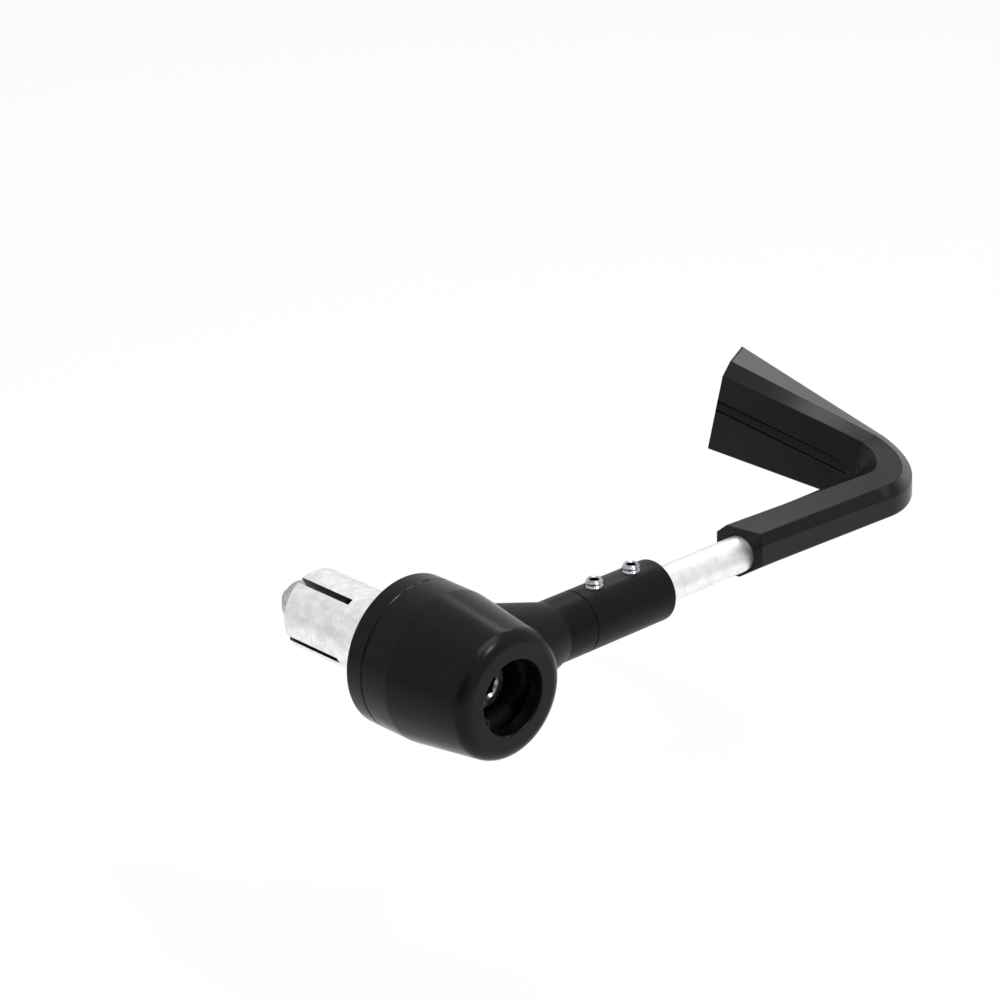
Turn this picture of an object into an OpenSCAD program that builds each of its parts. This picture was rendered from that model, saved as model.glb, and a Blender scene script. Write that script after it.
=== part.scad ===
// Brake lever guard for the right-hand end of a motorcycle handlebar.
// A weight fills the bar end, an arm comes out of its side, and a moulded blade stands in front of the lever.
// Weight and arm turn together on the clamp bolt, against the ring that bears on the bar.
// Axes: +X out of the bar end, +Y forward along the arm, +Z up with the clamp screws.
// Origin: the middle of the ring face that meets the end of the bar. All lengths are millimetres.

/* [Bar end weight] */
// Outside diameter of the weight and of its ring
head_d = 33; // [30:0.5:44]
// Width of the separate ring that bears on the end of the bar
ring_w = 5.1; // [3:0.1:7]
// Distance from the bar to where the cone starts
straight_l = 12.6; // [9:0.1:20]
// Distance from the bar to the flat end face
head_l = 32.4; // [31:0.1:42]
// Diameter of the cone where the end rounding starts
nose_d = 28.74; // [27:0.2:40]
// Radius of the rounding round the end face
nose_round = 4.1; // [1:0.1:5]
// Chamfer on the edge of the ring that faces the bar
rim_chamfer = 0.8; // [0.2:0.1:1.5]
// Small chamfers that show the joint between ring and weight as a line
joint_chamfer = 0.2; // [0.1:0.05:0.5]
// Diameter of the hole in the end face
mouth_d = 16.2; // [13:0.2:19]
// Wall between the end face and the pocket behind it
end_wall = 3.6; // [2.5:0.1:5]
// Distance from the bar to the inboard wall of the pocket
pocket_x = 9.9; // [8:0.1:12]
// Corner radius of the window that the arm comes out of
window_round = 4; // [2:0.1:5]
// Depth of the counterbore in the ring that takes the end of the slit sleeve
collet_seat = 2; // [1:0.1:2.5]

/* [Expander in the bar] */
// Diameter of the slit sleeve that spreads inside the bar
collet_d = 18; // [14:0.1:24]
// Length of the slit sleeve
collet_l = 28.2; // [20:0.5:45]
// Length of each slit from the free end
slit_l = 16.5; // [8:0.1:20]
// Width of each slit
slit_w = 1.5; // [0.8:0.1:3]
// Angle of the first slit from the arm, the rest follow at quarter turns
slit_angle = 27.8; // [0:0.5:89]
// Chamfer on the free end of the slit sleeve
collet_chamfer = 0.6; // [0.2:0.1:1.5]
// Diameter of the wedge at its wide end
wedge_d = 13.6; // [11:0.1:16]
// Diameter of the wedge at its narrow end
wedge_small_d = 9.6; // [8:0.1:11]
// Length of the wedge
wedge_l = 11; // [6:0.5:14]
// Hex size of the lock nut across its flats
nut_af = 10; // [8:0.5:13]
// Height of the hexagon of the lock nut
nut_h = 3.6; // [2.5:0.1:6]
// Diameter of the round collar of the lock nut
nut_collar_d = 9; // [7:0.1:11]
// Height of the round collar of the lock nut
nut_collar_h = 2.2; // [1:0.1:3]

/* [Clamp bolt] */
// Thread diameter of the clamp bolt
bolt_d = 6; // [5:0.5:8]
// Length of the clamp bolt under its head
bolt_l = 55; // [40:1:70]
// Diameter of the round head of the clamp bolt
bolt_head_d = 10; // [8:0.1:12]
// Height of the head of the clamp bolt
bolt_head_h = 6; // [4:0.1:7]
// Hex size of the socket in the head of the clamp bolt
bolt_key = 5; // [3:0.5:6]
// Diameter of the washer under the head
washer_d = 12; // [10:0.2:14]
// Thickness of the washer
washer_h = 1.6; // [0.8:0.1:2.5]

/* [Arm] */
// Distance from the flat end face of the weight back to the arm's axis
arm_back = 16.6; // [16:0.1:18]
// Diameter of the knuckle's eye
eye_d = 22.6; // [20:0.1:23]
// Diameter of the wide end of the knuckle's neck
neck_d = 22.2; // [19:0.1:22.4]
// Thickness of the eye between pocket wall and washer
eye_t = 7.1; // [5:0.1:9]
// Diameter of the round seat for the washer
seat_d = 15.6; // [13.5:0.1:16.5]
// Outside diameter of the arm tube
tube_d = 13.8; // [12:0.1:16]
// Distance from the head's axis to where the neck starts to narrow
neck_y = 11.4; // [11:0.1:18]
// Distance from the head's axis to where the neck reaches the tube diameter
tube_y = 26.2; // [22:0.1:32]
// Distance from the head's axis to the joint between knuckle and clamp sleeve
joint_y = 34.2; // [31:0.1:40]
// Length of the clamp sleeve beyond the joint
sleeve_l = 23.9; // [22:0.1:30]
// Diameter of the sleeve's tail inside the knuckle
tail_d = 10.8; // [9.6:0.1:11.2]
// Length of the sleeve's tail
tail_l = 8.8; // [5:0.1:9]
// Distance from the joint to the rear clamp screw
screw_from_joint = 5.6; // [4:0.1:8]
// Distance between the two clamp screws
screw_pitch = 11.15; // [8:0.05:12]
// Thread diameter of the clamp screws
screw_d = 4; // [3:0.5:5]
// Height of the screws' tops above the arm's axis
screw_top = 8.35; // [7.6:0.1:9.5]
// Hex size of the sockets in the clamp screws
screw_key = 2; // [1.5:0.5:2.5]

/* [Rod and guard] */
// Diameter of the rod that carries the guard
rod_d = 8.24; // [7.5:0.02:8.6]
// Distance from the joint back to the rod's inner end
rod_in_knuckle = 4.5; // [3:0.1:4.7]
// Depth of the flat under the clamp screws
rod_flat = 0.66; // [0.3:0.02:1]
// Length of the rod inside the guard
rod_grip = 19; // [12:0.5:26]
// Distance from the head's axis to the start of the guard
guard_y = 85.6; // [80:0.05:100]
// Distance from the head's axis to where the guard starts to bend
bend_y = 130.5; // [120:0.1:150]
// Radius of the bend along the arm's axis
bend_r = 10.2; // [9:0.1:16]
// Angle that the blade leans back towards the lever
blade_lean = 2.6; // [0:0.1:25]
// Length of the blade from the end of the bend to its free end
blade_l = 43.9; // [25:0.5:70]
// Share of the change of section that happens inside the bend
bend_share = 0.3; // [0.1:0.05:0.4]
// How far the free end slants along the blade for each millimetre outwards
tip_skew = 0.36; // [0:0.01:0.5]
// How far the free end slants along the blade for each millimetre downwards
tip_rake = 0.18; // [0:0.01:0.4]
// Size of the small bevel on every edge of the guard
edge_bevel = 0.5; // [0.2:0.1:1]
// Depth of the groove along the inner face
groove_depth = 1.7; // [0.6:0.1:2.4]
// Distance from the end of the bend to the closed end of the groove
groove_start = 4; // [1:0.5:12]
// Scale of the guard's section across its whole length
section_scale = 1; // [0.9:0.01:1.15]

/* [Hidden] */

$fn = 64;
// Clearance of the turning weight and arm, at each end along the bolt
face_gap = 0.1;
// Radial clearance of a sliding or turning shaft
run_gap = 0.07;
// Radial clearance between threads and glued joints, drawn plain
thread_gap = 0.02;
// Gap between the moving wedge and the sleeve that it spreads
wedge_gap = 0.1;
// Room between the eye and the round wall of the pocket
eye_room = 0.4;
// Room above and below the neck in its window
window_room = 0.9;
// Room in the pocket in front of the eye, where the bolt's head stands
eye_front_room = 3.5;
// How far the cutting tools of the blade run past its free end
tip_past = 9;
// Step down in radius of the slit sleeve's end inside the ring
seat_relief = 0.3;
// Overshoot that keeps cutting tools clear of the faces they pass
over = 1;

arm_x = head_l - arm_back;
head_r = head_d / 2;
nose_r = nose_d / 2;
eye_r = eye_d / 2;
tube_r = tube_d / 2;
rod_r = rod_d / 2;
bolt_r = bolt_d / 2;
collet_r = collet_d / 2;
wedge_r = wedge_d / 2;
wedge_small_r = wedge_small_d / 2;
pocket_r = eye_r + eye_room;
pocket_out_x = head_l - end_wall;
neck_r = neck_d / 2;
window_half_h = neck_r + window_room;
weight_x = ring_w + face_gap;
eye_out_x = pocket_out_x - eye_front_room;
seat_x = pocket_x + eye_t;
shoulder_y = head_r + 0.8;
washer_x = seat_x + face_gap;
bolt_head_x = washer_x + washer_h;
bolt_end_x = bolt_head_x - bolt_l;
bolt_hole_r = bolt_r + 0.15;
bolt_end_chamfer = 0.8;
eye_hole_r = bolt_r + run_gap;
wedge_slope = atan((wedge_r - wedge_small_r) / wedge_l);
rod_end_y = guard_y + rod_grip;
flat_z = rod_r - rod_flat;
screw_tip_z = flat_z + face_gap;
sleeve_y = joint_y + sleeve_l;
rod_y = joint_y - rod_in_knuckle;
screw_rear_y = joint_y + screw_from_joint;
screw_front_y = screw_rear_y + screw_pitch;
rod_flat_end_y = sleeve_y - 1.3;
blade_turn = 90 + blade_lean;
bend_x = arm_x - bend_r;

// Corners of the guard's section at its start: outwards from the rod's axis, then height.
// In order: top inner, top outer, upper side, lower side, bottom outer, bottom inner, inner lower, inner upper.
start_corners = [[-2.9, 5.5], [5.9, 6.4], [6.7, 3.7], [6.5, -1.3],
    [0.15, -5.65], [-4.55, -6.2], [-6.7, -3.0], [-6.9, 3.15]];
// The same where the bend starts.
arm_corners = [[-0.95, 5.95], [4.95, 4.9], [6.95, 2.6], [6.9, -2.2],
    [0.15, -5.65], [-4.55, -6.2], [-6.7, -3.0], [-6.9, 3.15]];
// The same for the free end, where the two inner corners lie on the flat inner face.
tip_corners = [[-2.8, 15.3], [1.25, 17.85], [8.65, 18.6], [12.65, 12.5], [-0.5, -4.4], [-4.15, -4.3]];
inner_heights = [0.32, 0.72];

black_paint = [0.12, 0.12, 0.13];
bare_metal = [0.82, 0.83, 0.85];
zinc = [0.66, 0.67, 0.70];
dark_steel = [0.28, 0.28, 0.30];
plastic_black = [0.16, 0.16, 0.17];

// A solid turned about the head's axis from a profile of distance outwards and radius.
module turned(profile) {
    rotate([90, 0, 90])
        rotate_extrude($fn = 96)
            polygon([for (p = profile) [p[1], p[0]]]);
}

// A round bar along the head's axis between two distances from the bar.
module x_bar(r, x0, x1) {
    translate([x0, 0, 0])
        rotate([0, 90, 0])
            cylinder(r = r, h = x1 - x0);
}

// A round bar along the arm's axis between two distances from the head's axis.
module y_bar(r, y0, y1) {
    translate([arm_x, y0, 0])
        rotate([-90, 0, 0])
            cylinder(r = r, h = y1 - y0);
}

// A cone along the arm's axis, its two radii at two distances.
module y_cone(r0, r1, y0, y1) {
    translate([arm_x, y0, 0])
        rotate([-90, 0, 0])
            cylinder(r1 = r0, r2 = r1, h = y1 - y0);
}

// The cone line of the weight, its radius at a distance from the bar.
function cone_r(x) = head_r - (head_r - nose_r) * (x - straight_l) / (head_l - nose_round - straight_l);

module head_profile() {
    slope = atan((head_r - nose_r) / (head_l - nose_round - straight_l));
    proud = 0.03;
    centre_x = head_l - nose_round + proud;
    centre_r = cone_r(centre_x) - (nose_round - proud) / cos(slope);
    corner_r = cone_r(head_l);
    reach = nose_round + over;
    difference() {
        polygon([[0, weight_x], [head_r - joint_chamfer, weight_x], [head_r, weight_x + joint_chamfer],
            [head_r, straight_l], [corner_r, head_l], [0, head_l]]);
        translate([centre_r, centre_x])
            difference() {
                polygon([[0, 0], [reach * cos(slope), reach * sin(slope)], [2 * reach, 2 * reach], [0, reach]]);
                circle(r = nose_round);
            }
    }
}

module rounded_rect(x0, x1, half, r) {
    translate([(x0 + x1) / 2, 0])
        for (sx = [-1, 1], sy = [-1, 1])
            translate([sx * ((x1 - x0) / 2 - r), sy * (half - r)])
                circle(r = r);
    translate([x0 + r, -half])
        square([x1 - x0 - 2 * r, 2 * half]);
    translate([x0, -half + r])
        square([x1 - x0, 2 * half - 2 * r]);
}

// The room for the eye, open to the side where the arm comes out.
module pocket() {
    x_bar(pocket_r, pocket_x, pocket_out_x);
    translate([0, 2 * head_r, 0])
        rotate([90, 0, 0])
            linear_extrude(2 * head_r)
                rounded_rect(pocket_x, pocket_out_x, window_half_h, window_round);
}

module end_weight() {
    color(black_paint)
    difference() {
        rotate([90, 0, 90])
            rotate_extrude($fn = 96)
                head_profile();
        pocket();
        x_bar(mouth_d / 2, pocket_out_x - over, head_l + over);
        x_bar(eye_hole_r, ring_w - over, pocket_x + over);
    }
}

module inner_ring() {
    color(black_paint)
    turned([[0, head_r - rim_chamfer], [rim_chamfer, head_r],
        [ring_w - joint_chamfer, head_r], [ring_w, head_r - joint_chamfer], [ring_w, bolt_hole_r],
        [collet_seat, bolt_hole_r], [collet_seat, collet_r + thread_gap], [0, collet_r + thread_gap]]);
}

module expander_collet() {
    mouth_r = wedge_r + wedge_gap / cos(wedge_slope);
    throat_r = wedge_small_r + wedge_gap / cos(wedge_slope);
    throat_past = 1.2;
    color(bare_metal)
    rotate([slit_angle - 45, 0, 0])
    difference() {
        turned([[collet_seat, bolt_hole_r], [collet_seat, collet_r - seat_relief], [0, collet_r - seat_relief],
            [0, collet_r], [-collet_l + collet_chamfer, collet_r],
            [-collet_l, collet_r - collet_chamfer], [-collet_l, mouth_r],
            [-collet_l + wedge_l, throat_r], [-collet_l + slit_l + throat_past, throat_r],
            [-collet_l + slit_l + throat_past, bolt_hole_r]]);
        for (turn = [0:90:270])
            rotate([45 + turn, 0, 0])
                translate([-collet_l - over, 0, -slit_w / 2])
                    cube([slit_l + over, collet_r + over, slit_w]);
    }
}

module cone_wedge() {
    color(bare_metal)
    turned([[-collet_l, eye_hole_r], [-collet_l, wedge_r], [-collet_l + wedge_l, wedge_small_r],
        [-collet_l + wedge_l, eye_hole_r]]);
}

module lock_nut() {
    insert_r = nut_collar_d / 2 - 0.8;
    color(zinc)
    difference() {
        union() {
            intersection() {
                translate([-collet_l - nut_h, 0, 0])
                    rotate([0, 90, 0])
                        cylinder(r = nut_af / 2 / cos(30), h = nut_h, $fn = 6);
                turned([[-collet_l, 0], [-collet_l, nut_af / 2], [-collet_l - 0.6, nut_af / 2 / cos(30)],
                    [-collet_l - nut_h + 0.6, nut_af / 2 / cos(30)], [-collet_l - nut_h, nut_af / 2],
                    [-collet_l - nut_h, 0]]);
            }
            turned([[-collet_l - nut_h, 0], [-collet_l - nut_h, nut_collar_d / 2],
                [-collet_l - nut_h - nut_collar_h + 0.5, nut_collar_d / 2],
                [-collet_l - nut_h - nut_collar_h, nut_collar_d / 2 - 0.5],
                [-collet_l - nut_h - nut_collar_h, 0]]);
        }
        x_bar(bolt_r + run_gap, -collet_l - nut_h - nut_collar_h - over, -collet_l + over);
        x_bar(insert_r, -collet_l - nut_h - nut_collar_h - over, -collet_l - nut_h - 0.4);
    }
}

module nut_insert() {
    insert_r = nut_collar_d / 2 - 0.8;
    top_x = -collet_l - nut_h - nut_collar_h + 0.3;
    color(dark_steel)
    turned([[top_x, bolt_r + run_gap], [top_x, insert_r], [-collet_l - nut_h - 0.4, insert_r],
        [-collet_l - nut_h - 0.4, bolt_r + run_gap]]);
}

module clamp_bolt() {
    head_end_x = bolt_head_x + bolt_head_h;
    key_depth = bolt_head_h / 2;
    color(zinc)
    difference() {
        turned([[bolt_end_x, 0], [bolt_end_x, bolt_r - bolt_end_chamfer], [bolt_end_x + bolt_end_chamfer, bolt_r],
            [bolt_head_x, bolt_r], [bolt_head_x, bolt_head_d / 2], [head_end_x - 0.5, bolt_head_d / 2],
            [head_end_x, bolt_head_d / 2 - 0.5], [head_end_x, 0]]);
        translate([head_end_x - key_depth, 0, 0])
            rotate([0, 90, 0])
                cylinder(r = bolt_key / 2 / cos(30), h = key_depth + over, $fn = 6);
    }
}

module head_washer() {
    color(zinc)
    turned([[washer_x, bolt_hole_r], [washer_x, washer_d / 2], [bolt_head_x, washer_d / 2],
        [bolt_head_x, bolt_hole_r]]);
}

module arm_knuckle() {
    socket_y = joint_y - tail_l - 0.4;
    reach = arm_x + neck_r + over;
    color(black_paint)
    difference() {
        union() {
            x_bar(eye_r, pocket_x, eye_out_x);
            y_bar(neck_r, 0, neck_y);
            y_cone(neck_r, tube_r, neck_y, tube_y);
            y_bar(tube_r, tube_y, joint_y);
        }
        translate([-2 * eye_r, -over, -eye_r - over])
            cube([pocket_x + 2 * eye_r, shoulder_y + over, 2 * eye_r + 2 * over]);
        x_bar(eye_hole_r, 0, reach);
        x_bar(seat_d / 2, seat_x, reach);
        y_bar(tail_d / 2 + thread_gap, socket_y, joint_y + over);
    }
}

module clamp_sleeve() {
    mouth_chamfer = 0.5;
    color(black_paint)
    difference() {
        union() {
            y_bar(tail_d / 2, joint_y - tail_l, joint_y + over);
            y_bar(tube_r, joint_y, sleeve_y - mouth_chamfer);
            y_cone(tube_r, tube_r - mouth_chamfer, sleeve_y - mouth_chamfer, sleeve_y);
        }
        y_bar(rod_r + run_gap, joint_y - tail_l - over, sleeve_y + over);
        for (y = [screw_rear_y, screw_front_y])
            translate([arm_x, y, 0])
                cylinder(r = screw_d / 2 + thread_gap, h = tube_r + over);
    }
}

module clamp_screw(y) {
    tip_chamfer = 0.6;
    top_chamfer = 0.35;
    r = screw_d / 2;
    key_depth = (screw_top - screw_tip_z) / 2;
    color(zinc)
    translate([arm_x, y, 0])
    difference() {
        rotate_extrude($fn = 48)
            polygon([[0, screw_tip_z], [r - tip_chamfer, screw_tip_z], [r, screw_tip_z + tip_chamfer],
                [r, screw_top - top_chamfer], [r - top_chamfer, screw_top], [0, screw_top]]);
        translate([0, 0, screw_top - key_depth])
            cylinder(r = screw_key / 2 / cos(30), h = key_depth + over, $fn = 6);
    }
}

module rear_clamp_screw() {
    clamp_screw(screw_rear_y);
}

module front_clamp_screw() {
    clamp_screw(screw_front_y);
}

module reach_rod() {
    end_chamfer = 0.5;
    color(bare_metal)
    difference() {
        union() {
            y_cone(rod_r - end_chamfer, rod_r, rod_y, rod_y + end_chamfer);
            y_bar(rod_r, rod_y + end_chamfer, rod_end_y);
        }
        translate([arm_x - rod_r - over, rod_y - over, flat_z])
            cube([2 * rod_r + 2 * over, rod_flat_end_y - rod_y + over, rod_r]);
    }
}

function blend(a, b, t) = a + (b - a) * t;

// A point moved towards another by a set distance.
function toward(p, q, d) = p + (q - p) * d / norm(q - p);

// The outline with each corner cut off by a small bevel.
function bevelled(p, d) = [for (i = [0:len(p) - 1])
    each [toward(p[i], p[(i + len(p) - 1) % len(p)], d), toward(p[i], p[(i + 1) % len(p)], d)]];

// A corner on the inner side, which comes to lie on the flat inner face by the end of the bend.
function inner_corner(i, m) = blend(arm_corners[i],
    blend(blend(arm_corners[5], tip_corners[5], m), blend(arm_corners[0], tip_corners[0], m), inner_heights[i - 6]),
    min(1, m / bend_share));

// The guard's section for a share of the way from arm to free end.
function corners_at(m) = section_scale * [for (i = [0:len(arm_corners) - 1])
    i < 6 ? blend(arm_corners[i], tip_corners[i], m) : inner_corner(i, m)];

// Stations are distance along the path before the bend, turn angle, distance after the bend, share of change.
function bend_stations(n) = [for (i = [0:n]) [0, blade_turn * i / n, 0, bend_share * pow(i / n, 2)]];
function blade_share(s) = blend(bend_share, 1, s / blade_l);

// A point of the section carried to its station on the path.
function placed(q, st) =
    let (r = bend_r + q[0], t = st[1])
    [bend_x + r * cos(t) - st[2] * sin(t), bend_y - st[0] + r * sin(t) + st[2] * cos(t), q[1]];

// A skin through closed outlines, each with the same number of points and clockwise seen from the first one's side.
module loft(rings) {
    n = len(rings[0]);
    last = len(rings) - 1;
    sides = [for (k = [0:last - 1], i = [0:n - 1])
        [k * n + i, (k + 1) * n + i, (k + 1) * n + (i + 1) % n, k * n + (i + 1) % n]];
    start = [for (i = [0:n - 1]) i];
    finish = [for (i = [0:n - 1]) last * n + n - 1 - i];
    polyhedron(points = [for (ring = rings) each ring], faces = concat(sides, [start, finish]), convexity = 6);
}

module guard_skin() {
    arm = section_scale * start_corners;
    end_ring = [for (q = bevelled(arm * (1 - edge_bevel / 7), edge_bevel)) placed(q, [bend_y - guard_y, 0, 0, 0])];
    near_ring = [for (q = bevelled(arm, edge_bevel)) placed(q, [bend_y - guard_y - edge_bevel, 0, 0, 0])];
    bend_rings = [for (st = bend_stations(20)) [for (q = bevelled(corners_at(st[3]), edge_bevel)) placed(q, st)]];
    blade_rings = [for (s = [blade_l / 2, blade_l + tip_past])
        [for (q = bevelled(corners_at(blade_share(s)), edge_bevel)) placed(q, [0, blade_turn, s, 0])]];
    loft(concat([end_ring, near_ring], bend_rings, blade_rings));
}

// The slanting cut that makes the flat free end.
module tip_cut() {
    span = 80;
    top_in = section_scale * tip_corners[0];
    base = placed(top_in, [0, blade_turn, blade_l - 3, 0]);
    yaw = atan(tip_skew);
    pitch = atan(tip_rake * cos(yaw));
    translate(base)
        rotate([0, 0, blade_turn])
            rotate([pitch, 0, yaw])
                translate([-span / 2, 0, -span / 2])
                    cube([span, span, span]);
}

// The long groove in the blade's inner face, with a stepped upper edge.
module groove() {
    clear = 1.2;
    rows = [[0, groove_start, 0.05], [0, groove_start + 1.2, 0.7], [0, groove_start + 3, 1],
        [0, blade_l + tip_past, 1]];
    loft([for (row = rows)
        let (c = corners_at(blade_share(row[1])), d = groove_depth * row[2])
        [for (q = [[0.73, -clear], [0.73, 0.8 * d], [0.7, d], [0.53, 0.7 * d], [0.31, 0], [0.31, -clear]])
            placed(blend(c[5], c[0], q[0]) + [q[1], 0], [0, blade_turn, row[1], 0])]]);
}

module lever_guard() {
    color(plastic_black)
    difference() {
        guard_skin();
        tip_cut();
        groove();
        y_bar(rod_r + thread_gap, guard_y - over, rod_end_y + 0.2);
    }
}

end_weight();
inner_ring();
expander_collet();
cone_wedge();
lock_nut();
nut_insert();
clamp_bolt();
head_washer();
arm_knuckle();
clamp_sleeve();
rear_clamp_screw();
front_clamp_screw();
reach_rod();
lever_guard();
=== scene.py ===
"""Studio picture of a brake lever guard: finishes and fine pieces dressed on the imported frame."""

import logging
import math
from collections.abc import Callable
from dataclasses import dataclass
from enum import Enum
from typing import ClassVar

import bmesh
import bpy
from mathutils import Matrix, Vector


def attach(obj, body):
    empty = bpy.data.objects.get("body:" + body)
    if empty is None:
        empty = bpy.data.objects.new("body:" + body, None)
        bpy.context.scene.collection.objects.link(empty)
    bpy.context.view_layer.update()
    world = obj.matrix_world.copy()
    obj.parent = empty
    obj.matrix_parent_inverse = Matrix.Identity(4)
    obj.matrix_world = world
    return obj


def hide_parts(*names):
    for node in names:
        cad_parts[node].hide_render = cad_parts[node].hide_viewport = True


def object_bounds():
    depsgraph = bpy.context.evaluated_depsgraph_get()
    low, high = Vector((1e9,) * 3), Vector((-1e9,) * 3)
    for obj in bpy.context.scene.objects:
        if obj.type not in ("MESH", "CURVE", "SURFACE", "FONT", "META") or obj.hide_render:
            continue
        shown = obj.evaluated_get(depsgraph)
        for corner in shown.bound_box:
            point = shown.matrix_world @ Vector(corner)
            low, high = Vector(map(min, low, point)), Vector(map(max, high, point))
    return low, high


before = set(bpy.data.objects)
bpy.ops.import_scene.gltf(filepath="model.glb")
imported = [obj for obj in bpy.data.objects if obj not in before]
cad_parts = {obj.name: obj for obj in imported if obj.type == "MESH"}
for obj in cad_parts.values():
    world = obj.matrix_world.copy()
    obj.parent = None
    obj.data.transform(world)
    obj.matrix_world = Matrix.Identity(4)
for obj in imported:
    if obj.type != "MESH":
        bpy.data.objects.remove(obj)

LOG = logging.getLogger("lever_guard")
Tree, Node, Socket, Piece = bpy.types.NodeTree, bpy.types.Node, bpy.types.NodeSocket, bpy.types.Object
Source = Node | Socket
Spot = tuple[float, float]
Point = tuple[float, float, float]
Outline = list[Spot]
MM = 0.001
PHOTO_SIDE = 1000
CAD_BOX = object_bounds()


def linear(code: str, alpha: float = 1.0) -> tuple[float, float, float, float]:
    """Turns an sRGB hex colour into linear light.

    Args:
        code: The colour as "#rrggbb".
        alpha: The opacity, from 0 to 1.

    Returns:
        Linear red, green, blue and alpha.
    """
    parts = [int(code[i:i + 2], 16) / 255 for i in (1, 3, 5)]
    return (*[c / 12.92 if c <= 0.04045 else ((c + 0.055) / 1.055) ** 2.4 for c in parts], alpha)


def connect(tree: Tree, node: Node, links: dict) -> None:
    """Connects sockets, or nodes for their first output, to inputs by name or number."""
    for key, source in links.items():
        tree.links.new(source.outputs[0] if isinstance(source, Node) else source, node.inputs[key])


def add_node(tree: Tree, kind: str, settings: dict | None = None, links: dict | None = None, **props) -> Node:
    """Adds one shader node with its values and its incoming links.

    Args:
        tree: The node tree that the node goes into.
        kind: Blender's type name of the node, without ShaderNode.
        settings: Values for input sockets, by socket name or number.
        links: Sockets, or nodes for their first output, by the input's name or number.
        **props: Attributes of the node itself.

    Returns:
        The new node.
    """
    node = tree.nodes.new("ShaderNode" + kind)
    for key, value in props.items():
        setattr(node, key, value)
    for key, value in (settings or {}).items():
        node.inputs[key].default_value = value
    connect(tree, node, links or {})
    return node


def cleared(owner: bpy.types.Material | bpy.types.World) -> Tree:
    """Turns a material's or a world's nodes on and empties them."""
    owner.use_nodes = True
    owner.node_tree.nodes.clear()
    return owner.node_tree


def ramp(node: Node, stops: list[tuple[float, str]]) -> Node:
    """Sets the stops of a colour ramp.

    Args:
        node: The colour ramp node.
        stops: Position and hex colour of each stop, in order.

    Returns:
        The same node.
    """
    elements = node.color_ramp.elements
    while len(elements) < len(stops):
        elements.new(0.5)
    for element, (place, code) in zip(elements, stops):
        element.position = place
        element.color = linear(code)
    return node


class Axis(Enum):
    """The line that a turned piece is turned about."""

    BAR = "the bar's axis, along X"
    ARM = "the arm's axis, along Y"
    SCREW = "a clamp screw's axis, along Z"

    def point(self, along: float, a: float, b: float) -> Point:
        """Puts a distance along the line and the two other coordinates in order of X, Y, Z."""
        return {Axis.BAR: (along, a, b), Axis.ARM: (a, along, b), Axis.SCREW: (a, b, along)}[self]


@dataclass(frozen=True)
class Sizes:
    """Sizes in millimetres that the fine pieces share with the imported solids."""

    head_r: float = 16.5
    ring_w: float = 5.1
    rim_chamfer: float = 0.8
    weight_x: float = 5.2
    straight_l: float = 12.6
    head_l: float = 32.4
    nose_r: float = 14.37
    nose_round: float = 4.1
    mouth_r: float = 8.1
    pocket_x: float = 9.9
    pocket_out_x: float = 28.8
    pocket_r: float = 11.7
    collet_seat: float = 2.0
    collet_r: float = 9.0
    collet_l: float = 28.2
    slit_l: float = 16.5
    slit_w: float = 1.5
    slit_angle: float = 27.8
    wedge_r: float = 6.8
    wedge_small_r: float = 4.8
    wedge_l: float = 11.0
    nut_af: float = 10.0
    nut_h: float = 3.6
    collar_r: float = 4.5
    collar_h: float = 2.2
    insert_r: float = 3.7
    bolt_r: float = 3.0
    bolt_end_x: float = -36.3
    bolt_head_x: float = 18.7
    bolt_head_r: float = 5.0
    bolt_head_h: float = 6.0
    washer_x: float = 17.1
    washer_r: float = 6.0
    bolt_bore_r: float = 3.07
    bolt_hole_r: float = 3.15
    joint_chamfer: float = 0.22
    bolt_plain_x: float = -12.0
    bolt_pitch: float = 1.0
    bolt_thread: float = 0.55
    bolt_key: float = 5.0
    bolt_key_depth: float = 3.0
    arm_x: float = 15.8
    eye_r: float = 11.3
    eye_out_x: float = 25.3
    neck_r: float = 11.1
    neck_y: float = 11.4
    seat_x: float = 17.0
    seat_r: float = 7.8
    shoulder_y: float = 17.3
    tube_r: float = 6.9
    tube_y: float = 26.2
    joint_y: float = 34.2
    sleeve_y: float = 58.1
    tail_r: float = 5.4
    tail_l: float = 8.8
    screw_rear_y: float = 39.8
    screw_front_y: float = 50.95
    screw_r: float = 2.0
    screw_pitch: float = 1.05
    screw_thread: float = 0.4
    screw_key: float = 2.0
    screw_key_depth: float = 1.9
    screw_tip_z: float = 3.56
    screw_top_z: float = 8.35
    rod_r: float = 4.12
    rod_y: float = 29.7
    rod_flat_z: float = 3.46
    rod_flat_end_y: float = 57.3
    rod_end_y: float = 104.6
    guard_y: float = 85.6
    bend_y: float = 130.5
    bend_r: float = 10.2
    blade_turn: float = 92.6
    blade_l: float = 43.9
    bend_share: float = 0.3
    tip_skew: float = 0.36
    tip_rake: float = 0.18
    groove_depth: float = 0.85
    groove_start: float = 2.0
    groove_curve: float = 7.0
    groove_top: float = 6.6
    groove_low: float = 9.1


SIZES = Sizes()


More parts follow.
